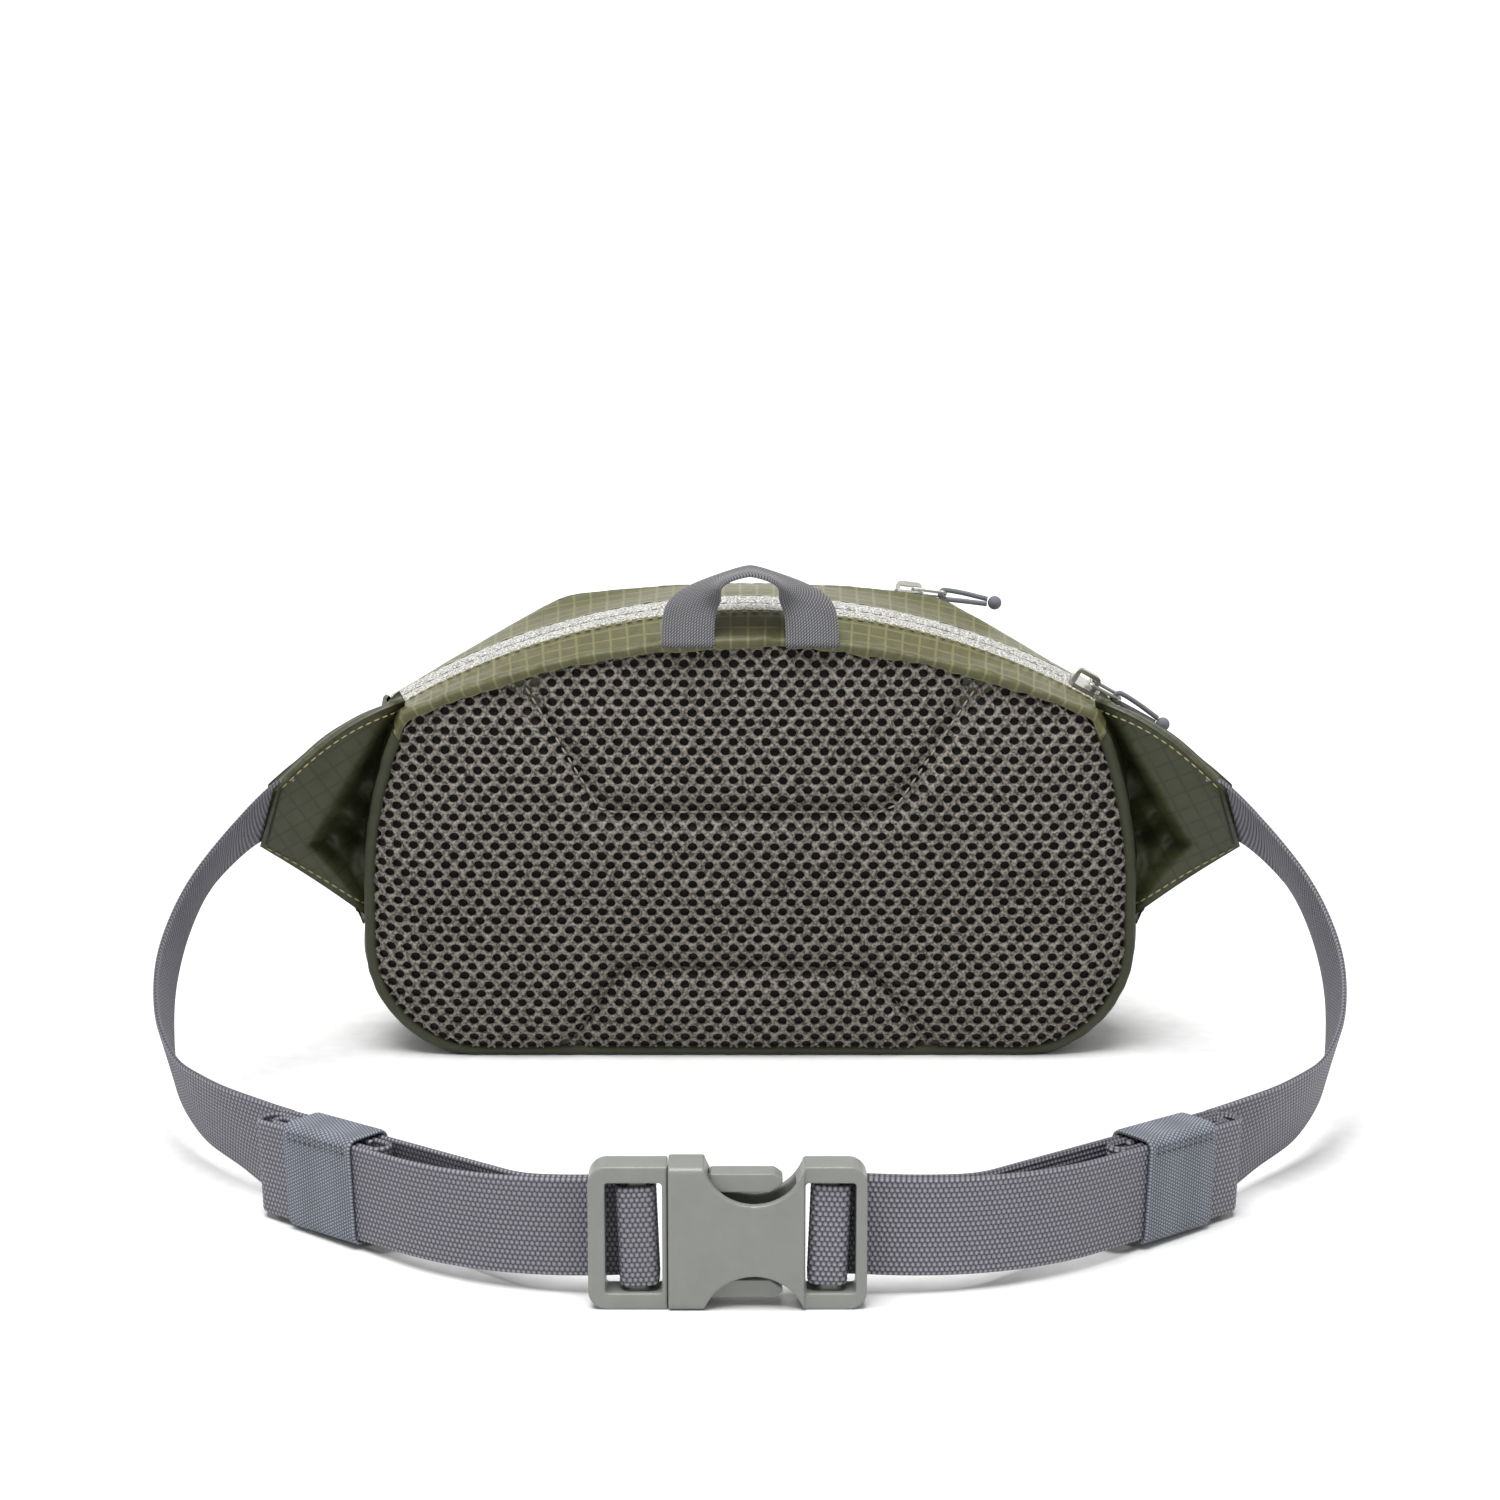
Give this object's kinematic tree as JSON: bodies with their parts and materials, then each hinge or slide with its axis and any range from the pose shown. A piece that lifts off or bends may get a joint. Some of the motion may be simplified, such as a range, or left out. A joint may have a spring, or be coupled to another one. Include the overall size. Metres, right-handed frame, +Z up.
{
  "type": "waist pack",
  "caption": "Small padded waist pack with a mesh back, zipped main and front compartments, a carry handle and a webbing belt closed by a side-release buckle.",
  "frame": {"origin": "on the floor, under the middle of the whole pack and its closed belt", "axes": "+X towards the wearer's right as the back panel is seen from the belt side, +Y from the belt through the bag to its front pocket, +Z up"},
  "size_m": [0.3288, 0.293, 0.1451],
  "materials": {
    "ripstop": "coated ripstop nylon, olive",
    "wing_fabric": "coated ripstop nylon, dark olive",
    "lining": "thin woven lining",
    "spacer_mesh": "knitted spacer mesh",
    "foam": "closed-cell foam",
    "binding": "woven binding tape",
    "zip_tape": "reversed coil zip tape",
    "zip_coil": "nylon coil",
    "zip_metal": "plated metal",
    "cord": "braided cord",
    "webbing": "ribbed webbing",
    "elastic": "woven elastic",
    "buckle_plastic": "moulded acetal, fine grain",
    "handle_webbing": "twill webbing",
    "thread": "polyester thread"
  },
  "bodies": {
    "bag": {"back_binding": "binding", "back_foam": "foam", "back_lining": "lining", "back_mesh": "spacer_mesh", "belt_right_front": "webbing", "belt_right_side": "webbing", "buckle_housing": "buckle_plastic", "gusset_bottom": "ripstop", "gusset_left": "ripstop", "gusset_right": "ripstop", "handle_bartacks": "thread", "main_zip_coil_back": "zip_coil", "main_zip_coil_front_ends": "zip_coil", "main_zip_stops": "zip_metal", "main_zip_tape_back": "zip_tape", "main_zip_tape_front_ends": "zip_tape", "pocket_bottom": "ripstop", "pocket_divider": "lining", "pocket_face": "ripstop", "pocket_side_left": "ripstop", "pocket_side_right": "ripstop", "pocket_top": "ripstop", "pocket_zip_coil": "zip_coil", "pocket_zip_tape_lower": "zip_tape", "pocket_zip_tape_upper": "zip_tape", "top_strip_back": "ripstop", "top_strip_front_ends": "ripstop", "wing_left_inner": "wing_fabric", "wing_left_outer": "wing_fabric", "wing_right_inner": "wing_fabric", "wing_right_outer": "wing_fabric"},
    "main_slider": {"main_zip_slider": "zip_metal"},
    "main_puller": {"main_pull": "zip_metal", "main_pull_cord": "cord", "main_pull_knot": "cord"},
    "pocket_slider": {"pocket_zip_slider": "zip_metal"},
    "pocket_puller": {"pocket_pull": "zip_metal", "pocket_pull_cord": "cord", "pocket_pull_knot": "cord"},
    "mouth_flap": {"flap_fabric": "ripstop", "flap_zip_tape": "zip_tape", "flap_zip_coil": "zip_coil"},
    "plug": {"buckle_plug": "buckle_plastic", "belt_left_front": "webbing", "belt_left_side": "webbing"},
    "prong_upper": {"buckle_prong_upper": "buckle_plastic"},
    "prong_lower": {"buckle_prong_lower": "buckle_plastic"},
    "keeper_left": {"keeper_left": "elastic"},
    "keeper_right": {"keeper_right": "elastic"},
    "handle": {"handle_webbing": "handle_webbing"}
  },
  "joints": [
    {"name": "main_zip_travel", "type": "hinge", "parent": "bag", "child": "main_slider", "pos_m": [0, 0.081, -0.071], "axis": [0, -1, 0], "range_deg": [0, 57.8]},
    {"name": "main_pull_flip", "type": "hinge", "parent": "main_slider", "child": "main_puller", "pos_m": [0.10082, 0.08042, 0.10915], "axis": [-0.103, -0.977, -0.1866], "range_deg": [0, 165]},
    {"name": "pocket_zip_travel", "type": "hinge", "parent": "bag", "child": "pocket_slider", "pos_m": [0, 0.112, -0.2856], "axis": [0, -1, 0], "range_deg": [0, 13.2]},
    {"name": "pocket_pull_flip", "type": "hinge", "parent": "pocket_slider", "child": "pocket_puller", "pos_m": [0.04941, 0.11325, 0.13098], "axis": [0.0534, -0.8854, 0.4617], "range_deg": [0, 165]},
    {"name": "mouth_flap_fold", "type": "hinge", "parent": "bag", "child": "mouth_flap", "pos_m": [0, 0.1065, 0.134], "axis": [-1, 0, 0], "range_deg": [0, 70], "stiffness_Nm_per_rad": 0.02, "deforming": ["flap_fabric", "flap_zip_tape", "flap_zip_coil"]},
    {"name": "buckle_release", "type": "slide", "parent": "bag", "child": "plug", "axis": [-1, 0, 0], "range_m": [0, 0.036], "deforming": ["belt_left_side", "buckle_prong_upper", "buckle_prong_lower"]},
    {"name": "prong_upper_squeeze", "type": "hinge", "parent": "plug", "child": "prong_upper", "pos_m": [-0.0192, -0.1405, 0.0302], "axis": [0, 1, 0], "range_deg": [0, 8], "stiffness_Nm_per_rad": 0.02},
    {"name": "prong_lower_squeeze", "type": "hinge", "parent": "plug", "child": "prong_lower", "pos_m": [-0.0192, -0.1405, 0.0055], "axis": [0, -1, 0], "range_deg": [0, 8], "stiffness_Nm_per_rad": 0.02},
    {"name": "keeper_left_slide", "type": "slide", "parent": "plug", "child": "keeper_left", "axis": [0.7426, -0.6691, 0.0293], "range_m": [-0.006, 0.006]},
    {"name": "keeper_right_slide", "type": "slide", "parent": "bag", "child": "keeper_right", "axis": [-0.7426, -0.6691, 0.0293], "range_m": [-0.006, 0.006]},
    {"name": "handle_swing", "type": "hinge", "parent": "bag", "child": "handle", "pos_m": [0, 0.0619, 0.1269], "axis": [1, 0, 0], "range_deg": [-6, 80], "stiffness_Nm_per_rad": 0.01}
  ]
}
